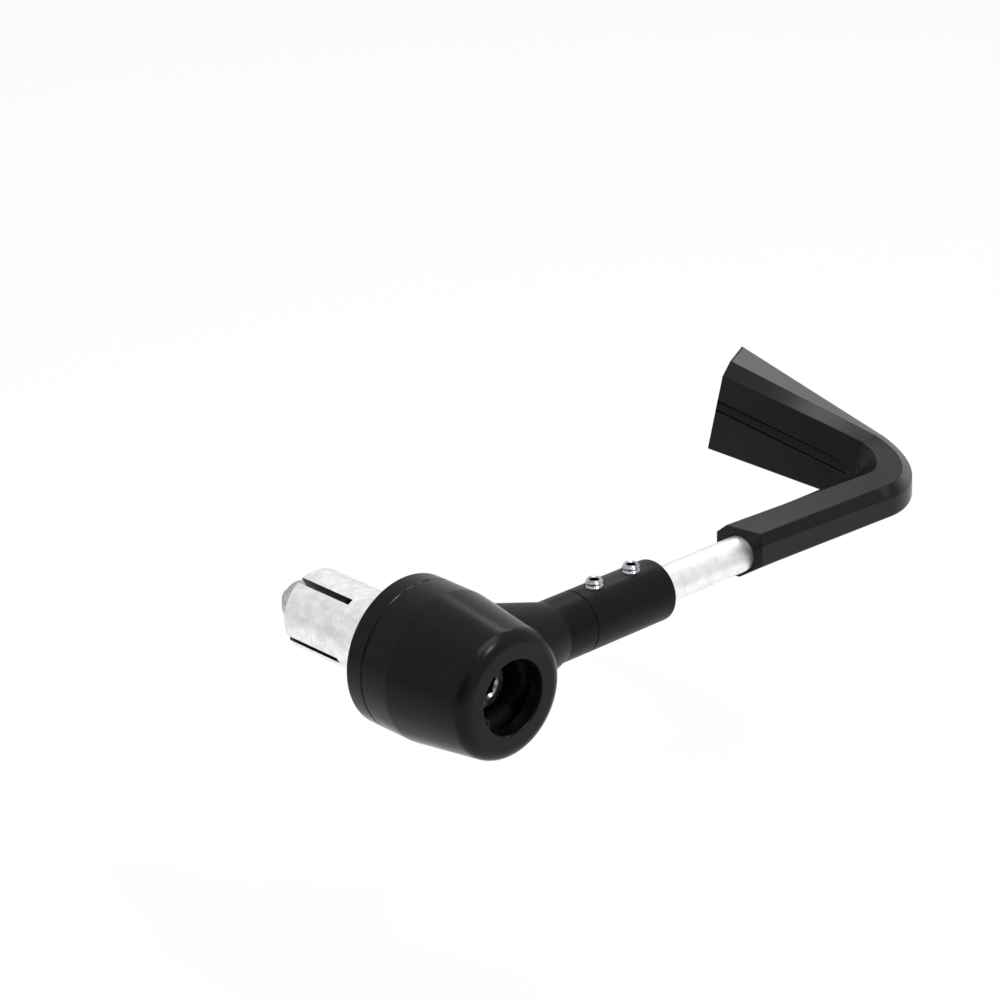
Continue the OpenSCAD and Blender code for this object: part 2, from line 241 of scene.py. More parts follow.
def rounded(corners: list[Point], steps: int = 5) -> Outline:
    """Rounds the corners of a closed outline.

    Args:
        corners: Both coordinates of each corner and its rounding radius, in millimetres.
        steps: Straight pieces in each rounding.

    Returns:
        The outline's points in order.
    """
    outline: Outline = []
    for i, (x, y, radius) in enumerate(corners):
        corner = Vector((x, y))
        back = Vector(corners[i - 1][:2]) - corner
        ahead = Vector(corners[(i + 1) % len(corners)][:2]) - corner
        half = back.angle(ahead) / 2
        if radius <= 0 or half > 1.56:
            outline.append((x, y))
            continue
        run = min(radius / math.tan(half), 0.48 * back.length, 0.48 * ahead.length)
        reach = run / math.cos(half)
        centre = corner + (back.normalized() + ahead.normalized()).normalized() * reach
        first = corner + back.normalized() * run - centre
        last = corner + ahead.normalized() * run - centre
        start = math.atan2(first.y, first.x)
        sweep = (math.atan2(last.y, last.x) - start + math.pi) % (2 * math.pi) - math.pi
        outline += [(centre.x + first.length * math.cos(start + sweep * k / steps),
                     centre.y + first.length * math.sin(start + sweep * k / steps)) for k in range(steps + 1)]
    return outline


def in_scene(name: str, data: bpy.types.ID) -> Piece:
    """Makes an object of a mesh, a lamp or a camera and puts it in the scene."""
    thing = bpy.data.objects.new(name, data)
    bpy.context.scene.collection.objects.link(thing)
    return thing


def piece_from(name: str, points: list[Point], faces: list[tuple[int, ...]]) -> Piece:
    """Makes a mesh object from points in millimetres.

    Args:
        name: Name of the object.
        points: The corners in millimetres, in the row frame.
        faces: The corners of each face, by number.

    Returns:
        The new object, its faces turned outwards and points in the same place merged.
    """
    mesh = bpy.data.meshes.new(name)
    mesh.from_pydata([tuple(c * MM for c in point) for point in points], [], faces)
    work = bmesh.new()
    work.from_mesh(mesh)
    bmesh.ops.remove_doubles(work, verts=work.verts, dist=1e-7)
    bmesh.ops.dissolve_degenerate(work, edges=work.edges, dist=1e-8)
    bmesh.ops.recalc_face_normals(work, faces=work.faces)
    work.to_mesh(mesh)
    work.free()
    return in_scene(name, mesh)


def strips(rows: int, count: int) -> list[tuple[int, ...]]:
    """Gives the four-cornered faces between rings of points, one row after another."""
    return [(r * count + k, r * count + (k + 1) % count, (r + 1) * count + (k + 1) % count, (r + 1) * count + k)
            for r in range(rows) for k in range(count)]


def turned(name: str, outline: Outline, axis: Axis, steps: int = 160,
           origin: Spot = (0.0, 0.0), start: float = 0.0) -> Piece:
    """Turns a closed outline of distance and radius about an axis.

    Args:
        name: Name of the object.
        outline: Distance along the axis and radius of each point, in millimetres.
        axis: The line it turns about.
        steps: Flats round the axis.
        origin: The axis's place in its two other coordinates.
        start: Angle of the first flat's edge in degrees.

    Returns:
        The turned piece.
    """
    count = len(outline)
    points = []
    for step in range(steps):
        angle = math.radians(start) + 2 * math.pi * step / steps
        for along, radius in outline:
            a, b = origin[0] + radius * math.cos(angle), origin[1] + radius * math.sin(angle)
            points.append(axis.point(along, a, b))
    faces = []
    for step in range(steps):
        here, there = step * count, (step + 1) % steps * count
        for i in range(count):
            j = (i + 1) % count
            if outline[i][1] > 1e-9 or outline[j][1] > 1e-9:
                faces.append((here + i, here + j, there + j, there + i))
    return piece_from(name, points, faces)


def block(name: str, outline: Outline, axis: Axis, low: float, high: float, turn: float = 0.0) -> Piece:
    """Draws a closed outline out along an axis.

    Args:
        name: Name of the object.
        outline: The two other coordinates of each corner, in order of X, Y, Z.
        axis: The direction in which it is drawn out.
        low: Where it starts along the axis, in millimetres.
        high: Where it ends.
        turn: Angle in degrees that the outline is turned about the axis.

    Returns:
        The drawn piece.
    """
    count = len(outline)
    c, s = math.cos(math.radians(turn)), math.sin(math.radians(turn))
    points = []
    for along in (low, high):
        for a, b in outline:
            a, b = a * c - b * s, a * s + b * c
            points.append(axis.point(along, a, b))
    sides = [(i, (i + 1) % count, count + (i + 1) % count, count + i) for i in range(count)]
    return piece_from(name, points, [tuple(range(count)), tuple(range(count, 2 * count)), *sides])


def box_outline(a0: float, a1: float, b0: float, b1: float) -> Outline:
    """Gives the four corners of a rectangle."""
    return [(a0, b0), (a1, b0), (a1, b1), (a0, b1)]


def plain(low: float, high: float, radius: float) -> Outline:
    """Gives the outline of a plain cylinder between two distances along its axis."""
    return [(low, 0), (low, radius), (high, radius), (high, 0)]


def corner_radius(flats: float) -> float:
    """Gives the radius over a hexagon's corners from its width across flats."""
    return flats / 2 / math.cos(math.radians(30))


def bake(piece: Piece) -> None:
    """Puts what a piece's modifiers do into its mesh."""
    bpy.context.view_layer.update()
    result = bpy.data.meshes.new_from_object(piece.evaluated_get(bpy.context.evaluated_depsgraph_get()))
    piece.modifiers.clear()
    piece.data = result


def shaped(piece: Piece, tools: list[Piece], operation: str = "DIFFERENCE") -> Piece:
    """Cuts tools out of a piece, or adds them to it, and removes the tools.

    Args:
        piece: The piece that is changed.
        tools: The pieces that cut it or join it.
        operation: Blender's name of what the tools do.

    Returns:
        The same piece.
    """
    for tool in tools:
        step = piece.modifiers.new("shape", "BOOLEAN")
        step.operation, step.solver, step.object = operation, "EXACT", tool
    bake(piece)
    for tool in tools:
        bpy.data.objects.remove(tool)
    return piece


def joined(piece: Piece, extra: list[Piece]) -> Piece:
    """Puts the meshes of further pieces into a piece, which they reach into."""
    work = bmesh.new()
    for source in (piece, *extra):
        work.from_mesh(source.data)
    work.to_mesh(piece.data)
    work.free()
    for source in extra:
        bpy.data.objects.remove(source)
    return piece


def smooth(piece: Piece, angle: float = 28.0) -> Piece:
    """Shades a piece smoothly, with wide faces flat and edges sharper than an angle kept."""
    piece.data.shade_smooth()
    piece.data.set_sharp_from_angle(angle=math.radians(angle))
    even = piece.modifiers.new("even_shading", "WEIGHTED_NORMAL")
    even.keep_sharp, even.mode = True, "FACE_AREA_WITH_ANGLE"
    bake(piece)
    return piece


def thread(name: str, axis: Axis, radius: float, depth: float, pitch: float, low: float, high: float,
           origin: Spot = (0.0, 0.0), chamfer: float = 0.5) -> Piece:
    """Makes a threaded stud with one helical ridge and both ends chamfered.

    Args:
        name: Name of the object.
        axis: The stud's axis.
        radius: Radius over the ridge.
        depth: Depth of the thread.
        pitch: Distance from turn to turn.
        low: Where the stud starts along its axis.
        high: Where it ends.
        origin: The axis's place in its two other coordinates.
        chamfer: Size of the chamfer at each end.

    Returns:
        The stud.
    """
    steps, rows = 48, max(8, round((high - low) / pitch * 10))
    flank, crest = 2.6, 0.15  # How steep each flank is, and how wide the ridge's flat top.
    points = []
    for row in range(rows + 1):
        along = low + (high - low) * row / rows
        cap = radius - chamfer + min(along - low, high - along, chamfer)
        for step in range(steps):
            phase = (along / pitch - step / steps) % 1.0
            ridge = radius - depth * min(1.0, max(0.0, flank * abs(phase - 0.5) - crest))
            r = min(ridge, cap)
            angle = 2 * math.pi * step / steps
            a, b = origin[0] + r * math.cos(angle), origin[1] + r * math.sin(angle)
            points.append(axis.point(along, a, b))
    ends = [tuple(range(steps)), tuple(range(rows * steps, (rows + 1) * steps))]
    return piece_from(name, points, [*ends, *strips(rows, steps)])


def settle(piece: Piece, body: str, node: str, finish: "Finish", angle: float = 28.0) -> None:
    """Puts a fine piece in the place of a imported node.

    Args:
        piece: The fine piece, already where the node is.
        body: The body that it moves with.
        node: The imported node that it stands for.
        finish: Its finish.
        angle: Edges sharper than this stay sharp.
    """
    smooth(piece, angle)
    if not piece.data.materials:
        piece.data.materials.append(finish.build())
    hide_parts(node)
    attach(piece, body)
    LOG.info("%s stands for %s", piece.name, node)


def paint_shade_inside(piece: Piece, finish: "Finish", inside: Callable[[Vector], bool]) -> None:
    """Paints shade on the faces of a hidden wall or a hole by giving them a second, darker finish.

    Args:
        piece: The settled piece.
        finish: The darker finish that paints shade on the hole's walls.
        inside: Tells whether a face's centre, in millimetres, is on such a wall.
    """
    piece.data.materials.append(finish.build())
    for face in piece.data.polygons:
        if inside(face.center / MM):
            face.material_index = 1


@dataclass(frozen=True)
class Finish:
    """A procedural finish, made once and shared by the pieces that have it."""

    # Paler colour of convex edges: edge wear and a painted edge highlight.
    edge_tone: ClassVar[str] = "#77787a"
    name: str
    base: str
    worn_and_highlit: str
    metallic: float
    roughness: float
    rough_spread: float
    refraction: float

    def build(self) -> bpy.types.Material:
        """Makes the material or returns the one made before."""
        known = bpy.data.materials.get(self.name)
        if known:
            return known
        material = bpy.data.materials.new(self.name)
        tree = cleared(material)
        shader = add_node(tree, "BsdfPrincipled", {"Metallic": self.metallic})
        if self.metallic == 0.0:
            shader.inputs["IOR"].default_value = self.refraction
        add_node(tree, "OutputMaterial", links={"Surface": shader})
        self.dress(tree, shader)
        return material

    def dress(self, tree: Tree, shader: Node) -> None:
        """Adds the colour, roughness and bump of the finish. Subclasses replace it."""
        raise NotImplementedError

    def close(self, tree: Tree, shader: Node, tone: Source, pattern: Source | None, height: Source,
              bump: Spot) -> None:
        """Gives the shader its colour, roughness and bump.

        Args:
            tree: The material's nodes.
            shader: The shader at their end.
            tone: The colour.
            pattern: What spreads the roughness about its middle value, or None for an even one.
            height: What the bump follows.
            bump: The bump's strength, and its distance in millimetres.
        """
        strength, distance = bump
        settings = {"Strength": strength, "Distance": distance * MM}
        ends = {"Base Color": tone, "Normal": add_node(tree, "Bump", settings, {"Height": height})}
        shader.inputs["Roughness"].default_value = self.roughness
        if pattern:
            span = {"To Min": self.roughness - self.rough_spread, "To Max": self.roughness + self.rough_spread}
            ends["Roughness"] = add_node(tree, "MapRange", span, {"Value": pattern})
        connect(tree, shader, ends)

    def edge_wear_and_highlight(self, tree: Tree, tone: Node, span: dict[str, float]) -> Socket:
        """Mixes a paler colour in where the surface is convex: edge wear, and a painted highlight along the
        edges.

        Args:
            tree: The material's nodes.
            tone: The colour that gets the paler edges.
            span: From which to which convexity the paler edge grows, and its greatest share.

        Returns:
            The mixed colour.
        """
        edge = add_node(tree, "NewGeometry")
        edge_share = add_node(tree, "MapRange", span, {"Value": edge.outputs["Pointiness"]})
        mixed = add_node(tree, "Mix", data_type="RGBA", links={0: edge_share, 6: tone})
        mixed.inputs[7].default_value = linear(self.edge_tone)
        return mixed.outputs[2]

    @staticmethod
    def place(tree: Tree, scale: Point = (1, 1, 1)) -> Node:
        """Gives the point on the object in metres, stretched by a scale along each axis."""
        spot = add_node(tree, "TexCoord")
        return add_node(tree, "Mapping", {"Scale": scale}, {"Vector": spot.outputs["Object"]})


@dataclass(frozen=True)
class AnodisedBlack(Finish):
    """Black anodised aluminium, turned: a satin dyed skin with faint rings that spread each highlight."""

    axis: Axis = Axis.BAR

    def dress(self, tree: Tree, shader: Node) -> None:
        """Adds a dyed skin with slow tone changes, fine turning rings and paler edges: wear and a painted edge
        highlight.
        """
        where = self.place(tree)
        settings = {"Scale": 0.055 / MM, "Detail": 5, "Roughness": 0.6}  # Clouds of 18 mm.
        cloud = add_node(tree, "TexNoise", settings, {"Vector": where})
        tone = ramp(add_node(tree, "ValToRGB", links={"Fac": cloud}),
                    [(0.3, self.base), (0.75, self.worn_and_highlit)])
        # Convex edges turn paler: edge wear and a painted edge highlight.
        span = {"From Min": 0.52, "From Max": 0.62, "To Max": 0.35}
        worn_and_highlit = self.edge_wear_and_highlight(tree, tone, span)
        self.close(tree, shader, worn_and_highlit, cloud, self.rings(tree), (0.04, 0.02))

    def rings(self, tree: Tree) -> Node:
        """Draws turning marks: noise drawn out round the axis, 0.15 mm apart, coarse enough to show."""
        pitch, round_it = 1 / (0.15 * MM), 0.012 / MM
        scale = tuple(pitch if axis is self.axis else round_it for axis in Axis)
        where = self.place(tree, scale)
        return add_node(tree, "TexNoise", {"Scale": 1, "Detail": 2}, {"Vector": where})


@dataclass(frozen=True)
class BareMetal(AnodisedBlack):
    """Bare turned metal: bright, with rings round the axis and dull patches from handling."""

    def dress(self, tree: Tree, shader: Node) -> None:
        """Adds the rings, patches of roughness and a slow change of tone."""
        where = self.place(tree)
        cloud = add_node(tree, "TexNoise", {"Scale": 1 / (2.5 * MM), "Detail": 8, "Roughness": 0.75},
                         {"Vector": where})
        tone = ramp(add_node(tree, "ValToRGB", links={"Fac": cloud}),
                    [(0.36, self.worn_and_highlit), (0.62, self.base)])
        rings = self.rings(tree)
        both = add_node(tree, "Math", links={0: rings, 1: cloud}, operation="MULTIPLY")
        self.close(tree, shader, tone, both, rings, (0.06, 0.02))


@dataclass(frozen=True)
class MouldedNylon(Finish):
    """Glass-filled nylon from a satin mould: a dull black with a very fine grain and paler arrises: rubbed, and
    a painted edge highlight.
    """

    grain_bump: Spot = (0.22, 0.04)
    # Paler colour of the arrises: wear and a painted edge highlight.
    edge_tone: ClassVar[str] = "#6a6a6c"

    def dress(self, tree: Tree, shader: Node) -> None:
        """Adds the grain, faint flow marks and the paler arrises: rubbed, and a painted edge highlight."""
        where = self.place(tree)
        grain = self.grain(tree, where)
        settings = {"Scale": 0.06 / MM, "Detail": 4, "Distortion": 0.6}  # Flow marks of 17 mm.
        flow = add_node(tree, "TexNoise", settings, {"Vector": where})
        tone = ramp(add_node(tree, "ValToRGB", links={"Fac": flow}),
                    [(0.3, self.base), (0.8, self.worn_and_highlit)])
        # Arrises turn paler: edge wear and a painted edge highlight.
        span = {"From Min": 0.54, "From Max": 0.66, "To Max": 0.1}
        worn_and_highlit = self.edge_wear_and_highlight(tree, tone, span)
        self.close(tree, shader, worn_and_highlit, flow, grain, self.grain_bump)

    @staticmethod
    def grain(tree: Tree, where: Node) -> Node:
        """Draws the mould's grain. The real one is about 0.1 mm; 0.5 mm is as fine as shows in the picture."""
        settings = {"Scale": 1 / (0.5 * MM), "Detail": 3, "Roughness": 0.7}
        return add_node(tree, "TexNoise", settings, {"Vector": where})


@dataclass(frozen=True)
class HighlitNylon(MouldedNylon):
    """The same nylon, with a painted highlight where it faces the light: a paler, duller grey with a speckle,
    growing from the bend on.
    """

    from_y: float = SIZES.bend_y + 1.0
    to_y: float = SIZES.bend_y + 9.0

    def dress(self, tree: Tree, shader: Node) -> None:
        """Adds the paler tone of the painted highlight where the object's Y lies beyond the bend's start, and
        the grain.
        """
        where = self.place(tree)
        split = add_node(tree, "SeparateXYZ", links={"Vector": where})
        grown = add_node(tree, "MapRange", {"From Min": self.from_y * MM, "From Max": self.to_y * MM},
                         {"Value": split.outputs["Y"]}, interpolation_type="SMOOTHSTEP")
        grain = self.grain(tree, where)
        speckle = add_node(tree, "MapRange",
                           {"From Min": 0.3, "From Max": 0.7, "To Min": 0.75, "To Max": 1.15}, {"Value": grain})
        both = {0: grown, 1: speckle}
        share = add_node(tree, "Math", links=both, operation="MULTIPLY", use_clamp=True)
        tone = ramp(add_node(tree, "ValToRGB", links={"Fac": share}),
                    [(0.0, self.base), (1.0, self.worn_and_highlit)])
        self.close(tree, shader, tone, None, grain, self.grain_bump)


# Values in order: name, colour, second colour, metallic, roughness, its spread, refraction, axis of its marks.
# The weight and ring look near black, with a soft streak where a lamp meets the rounding.
HEAD_BLACK = AnodisedBlack(
    "anodised_black_turned_on_bar_axis", "#080809", "#111112", 0.0, 0.23, 0.07, 1.23, Axis.BAR)
# Knuckle and sleeve look duller than the weight, and just as black.
ARM_BLACK = AnodisedBlack(
    "anodised_black_turned_on_arm_axis", "#0b0b0c", "#141415", 0.0, 0.38, 0.07, 1.18, Axis.ARM)
# The slit sleeve is almost white, clouded by handling.
COLLET_METAL = BareMetal(
    "bare_aluminium_turned_on_bar_axis", "#fafafb", "#dadcdf", 1.0, 0.44, 0.14, 1.5, Axis.BAR)
# The rod is as pale, with marks that run across it.
ROD_METAL = BareMetal("bare_aluminium_drawn_rod", "#f8f8f9", "#dfe1e4", 1.0, 0.48, 0.12, 1.5, Axis.ARM)
# The clamp screws glitter: light crests and dark grooves close together.
SCREW_METAL = BareMetal("zinc_plated_steel_screw", "#c3c5ca", "#8f9196", 1.0, 0.16, 0.06, 1.5, Axis.SCREW)
# Nut and washer are a cooler, even grey.
NUT_METAL = BareMetal("zinc_plated_steel_nut", "#c4c6ca", "#a0a2a7", 1.0, 0.22, 0.06, 1.5, Axis.BAR)
# The bolt is a darker grey with a bright rim.
BOLT_STEEL = BareMetal("plain_steel_bolt", "#a9abaf", "#8c8e92", 1.0, 0.28, 0.06, 1.5, Axis.BAR)
# The walls of the slits and of the bore get a dark metal as painted shade, so that each slit reads as a dark
# line.
CUT_SHADE_METAL = BareMetal("painted_shade_aluminium_saw_cut", "#55575a", "#3a3b3e", 1.0, 0.5, 0.08, 1.5, Axis.BAR)
# The hexagon sockets get a dark metal as painted shade inside a bright chamfer.
SOCKET_SHADE_METAL = BareMetal("painted_shade_socket_steel", "#3a3b3e", "#242527", 1.0, 0.4, 0.08, 1.5, Axis.SCREW)
# The nut's insert is a dull dark blue-grey ring.
INSERT_NYLON = MouldedNylon("moulded_nylon_insert", "#2a2c30", "#34363b", 0.0, 0.5, 0.05, 1.4)
# The guard's outer upper edge is painted a speckled mid grey from the bend to the free end, a painted highlight
# where it faces the light.
GUARD_HIGHLIGHT = HighlitNylon("moulded_black_nylon_painted_highlight", "#0c0c0d", "#59595b", 0.0, 0.4, 0.05, 1.24)
# The rest of the guard is a satin black, each flat with its own even tone.
GUARD_NYLON = MouldedNylon("moulded_black_nylon_guard", "#0c0c0d", "#141415", 0.0, 0.27, 0.06, 1.24)


@dataclass
class BarEnd:
    """The weight and ring outside the bar, and the expander inside it."""

    size: Sizes = SIZES

    def build(self) -> None:
        """Builds every piece about the bar's axis."""
        self.weight()
        self.ring()
        self.collet()
        self.wedge()
        self.nut()
        self.bolt()
        self.washer()

    def weight(self) -> None:
        """The turned weight, with its pocket, its mouth and the window for the arm."""
        z = self.size
        slope = (z.head_r - z.nose_r) / (z.head_l - z.nose_round - z.straight_l)
        corner_r = z.head_r - slope * (z.head_l - z.straight_l)
        outline = rounded([
            (z.weight_x, z.bolt_bore_r, 0), (z.weight_x, z.head_r - z.joint_chamfer, 0.05),
            (z.weight_x + z.joint_chamfer, z.head_r, 0.1),
            (z.straight_l, z.head_r, 1.5), (z.head_l, corner_r, z.nose_round), (z.head_l, z.mouth_r, 0.35),
            (z.pocket_out_x, z.mouth_r, 0.2), (z.pocket_out_x, z.pocket_r, 0.5), (z.pocket_x, z.pocket_r, 0.5),
            (z.pocket_x, z.bolt_bore_r, 0)], 10)
        piece = turned("fine_end_weight", outline, Axis.BAR, 200)
        room = 0.22
        window = [(0.01, 0), (0.01, z.neck_r + room), (z.neck_y + 0.05, z.neck_r + room),
                  (z.tube_y + 0.05, z.tube_r + room), (2 * z.head_r, z.tube_r + room), (2 * z.head_r, 0)]
        shaped(piece, [turned("window", window, Axis.ARM, 160, (z.arm_x, 0), 0.6)])
        settle(piece, "arm", "end_weight", HEAD_BLACK)

    def ring(self) -> None:
        """The ring between weight and bar."""
        z = self.size
        outline = rounded([
            (0, z.collet_r + 0.02, 0.1), (0, z.head_r - z.rim_chamfer, 0.15), (z.rim_chamfer, z.head_r, 0.2),
            (z.ring_w - z.joint_chamfer, z.head_r, 0.1), (z.ring_w, z.head_r - z.joint_chamfer, 0.05),
            (z.ring_w, z.bolt_hole_r, 0), (z.collet_seat, z.bolt_hole_r, 0),
            (z.collet_seat, z.collet_r + 0.02, 0)], 4)
        settle(turned("fine_inner_ring", outline, Axis.BAR, 200), "head", "inner_ring", HEAD_BLACK)

    def collet(self) -> None:
        """The slit sleeve that grips inside the bar."""
        z = self.size
        deep = z.slit_l - z.collet_l
        outline = rounded([
            (z.collet_seat, z.bolt_hole_r, 0), (z.collet_seat, z.collet_r - 0.3, 0.1), (0, z.collet_r - 0.3, 0),
            (0, z.collet_r, 0.05), (0.6 - z.collet_l, z.collet_r, 0.3), (-z.collet_l, z.collet_r - 0.6, 0.2),
            (-z.collet_l, z.wedge_r + 0.1, 0.1), (z.wedge_l - z.collet_l, z.wedge_small_r + 0.1, 0),
            (deep + 1.2, z.wedge_small_r + 0.1, 0), (deep + 1.2, z.bolt_hole_r, 0)], 5)
        piece = turned("fine_expander_collet", outline, Axis.BAR, 160)
        half = z.slit_w / 2
        cuts = [block(f"slit_{k}", box_outline(-z.collet_r - 1, z.collet_r + 1, -half, half), Axis.BAR,
                      -z.collet_l - 1, deep, z.slit_angle + 90 * k) for k in range(2)]
        settle(shaped(piece, cuts), "head", "expander_collet", COLLET_METAL)
        # The slit walls and the bore get painted shade.
        paint_shade_inside(piece, CUT_SHADE_METAL,
                    lambda c: math.hypot(c.y, c.z) < z.collet_r - 0.4 and c.x > 0.3 - z.collet_l)

    def wedge(self) -> None:
        """The cone that spreads the sleeve."""
        z = self.size
        end = z.wedge_l - z.collet_l
        outline = rounded([(-z.collet_l, z.bolt_bore_r, 0.1), (-z.collet_l, z.wedge_r, 0.15),
                           (end, z.wedge_small_r, 0.1), (end, z.bolt_bore_r, 0.1)], 3)
        settle(turned("fine_cone_wedge", outline, Axis.BAR, 128), "wedge", "cone_wedge", COLLET_METAL)

    def nut(self) -> None:
        """The lock nut with its collar, and the nylon insert in the collar."""
        z = self.size
        face, back, top = -z.collet_l, -z.collet_l - z.nut_h, -z.collet_l - z.nut_h - z.collar_h
        corner = corner_radius(z.nut_af)
        piece = turned("fine_lock_nut", plain(face, back, corner), Axis.BAR, 6)
        shell = [(face + 0.02, z.bolt_bore_r), (face + 0.02, z.nut_af / 2 - 0.1), (face - 0.43, corner + 0.03),
                 (back + 0.43, corner + 0.03), (back - 0.02, z.nut_af / 2 - 0.1), (back - 0.02, z.bolt_bore_r)]
        shaped(piece, [turned("shell", shell, Axis.BAR, 96, start=1.3)], "INTERSECT")
        collar = rounded([(back + 0.3, z.bolt_r + 0.09, 0), (back + 0.3, z.collar_r, 0), (top, z.collar_r, 0.7),
                          (top, z.insert_r, 0.1), (back - 0.4, z.insert_r, 0),
                          (back - 0.4, z.bolt_r + 0.09, 0)], 6)
        joined(piece, [turned("collar", collar, Axis.BAR, 96)])
        settle(piece, "wedge", "lock_nut", NUT_METAL, 25)
        ring = rounded([(top + 0.3, z.bolt_bore_r, 0.2), (top + 0.3, z.insert_r, 0.1),
                        (back - 0.4, z.insert_r, 0), (back - 0.4, z.bolt_bore_r, 0)], 4)
        settle(turned("fine_nut_insert", ring, Axis.BAR, 96), "wedge", "nut_insert", INSERT_NYLON)

    def bolt(self) -> None:
        """The clamp bolt: thread, plain shank and socket head."""
        z = self.size
        top = z.bolt_head_x + z.bolt_head_h
        piece = thread("fine_clamp_bolt", Axis.BAR, z.bolt_r, z.bolt_thread, z.bolt_pitch, z.bolt_end_x,
                       z.bolt_plain_x, chamfer=0.8)
        inside = z.bolt_plain_x - 0.9
        outline = rounded([(inside, 0, 0), (inside, z.bolt_r - 0.005, 0),
                           (z.bolt_head_x, z.bolt_r - 0.005, 0), (z.bolt_head_x, z.bolt_head_r, 0.1),
                           (top, z.bolt_head_r, 0.45), (top, 0, 0)], 6)
        key = corner_radius(z.bolt_key)
        floor = top - z.bolt_key_depth
        lead = [(top - 0.5, 0), (top - 0.5, key - 0.3), (top + 0.3, key + 0.5), (top + 0.3, 0)]
        head = shaped(turned("head", outline, Axis.BAR, 96), [
            turned("socket", plain(floor, top + 1, key), Axis.BAR, 6, start=11),
            turned("lead", lead, Axis.BAR, 48)])
        joined(piece, [head])
        settle(piece, "head", "clamp_bolt", BOLT_STEEL, 25)
        # The bolt's socket gets painted shade.
        paint_shade_inside(piece, SOCKET_SHADE_METAL,
                    lambda c: math.hypot(c.y, c.z) < key - 0.1 and floor - 0.1 < c.x < top - 0.05)

    def washer(self) -> None:
        """The washer under the bolt's head."""
        z = self.size
        outline = rounded([(z.washer_x, z.bolt_hole_r, 0.1), (z.washer_x, z.washer_r, 0.2),
                           (z.bolt_head_x, z.washer_r, 0.3), (z.bolt_head_x, z.bolt_hole_r, 0.1)], 4)
        settle(turned("fine_head_washer", outline, Axis.BAR, 96), "head", "head_washer", NUT_METAL)


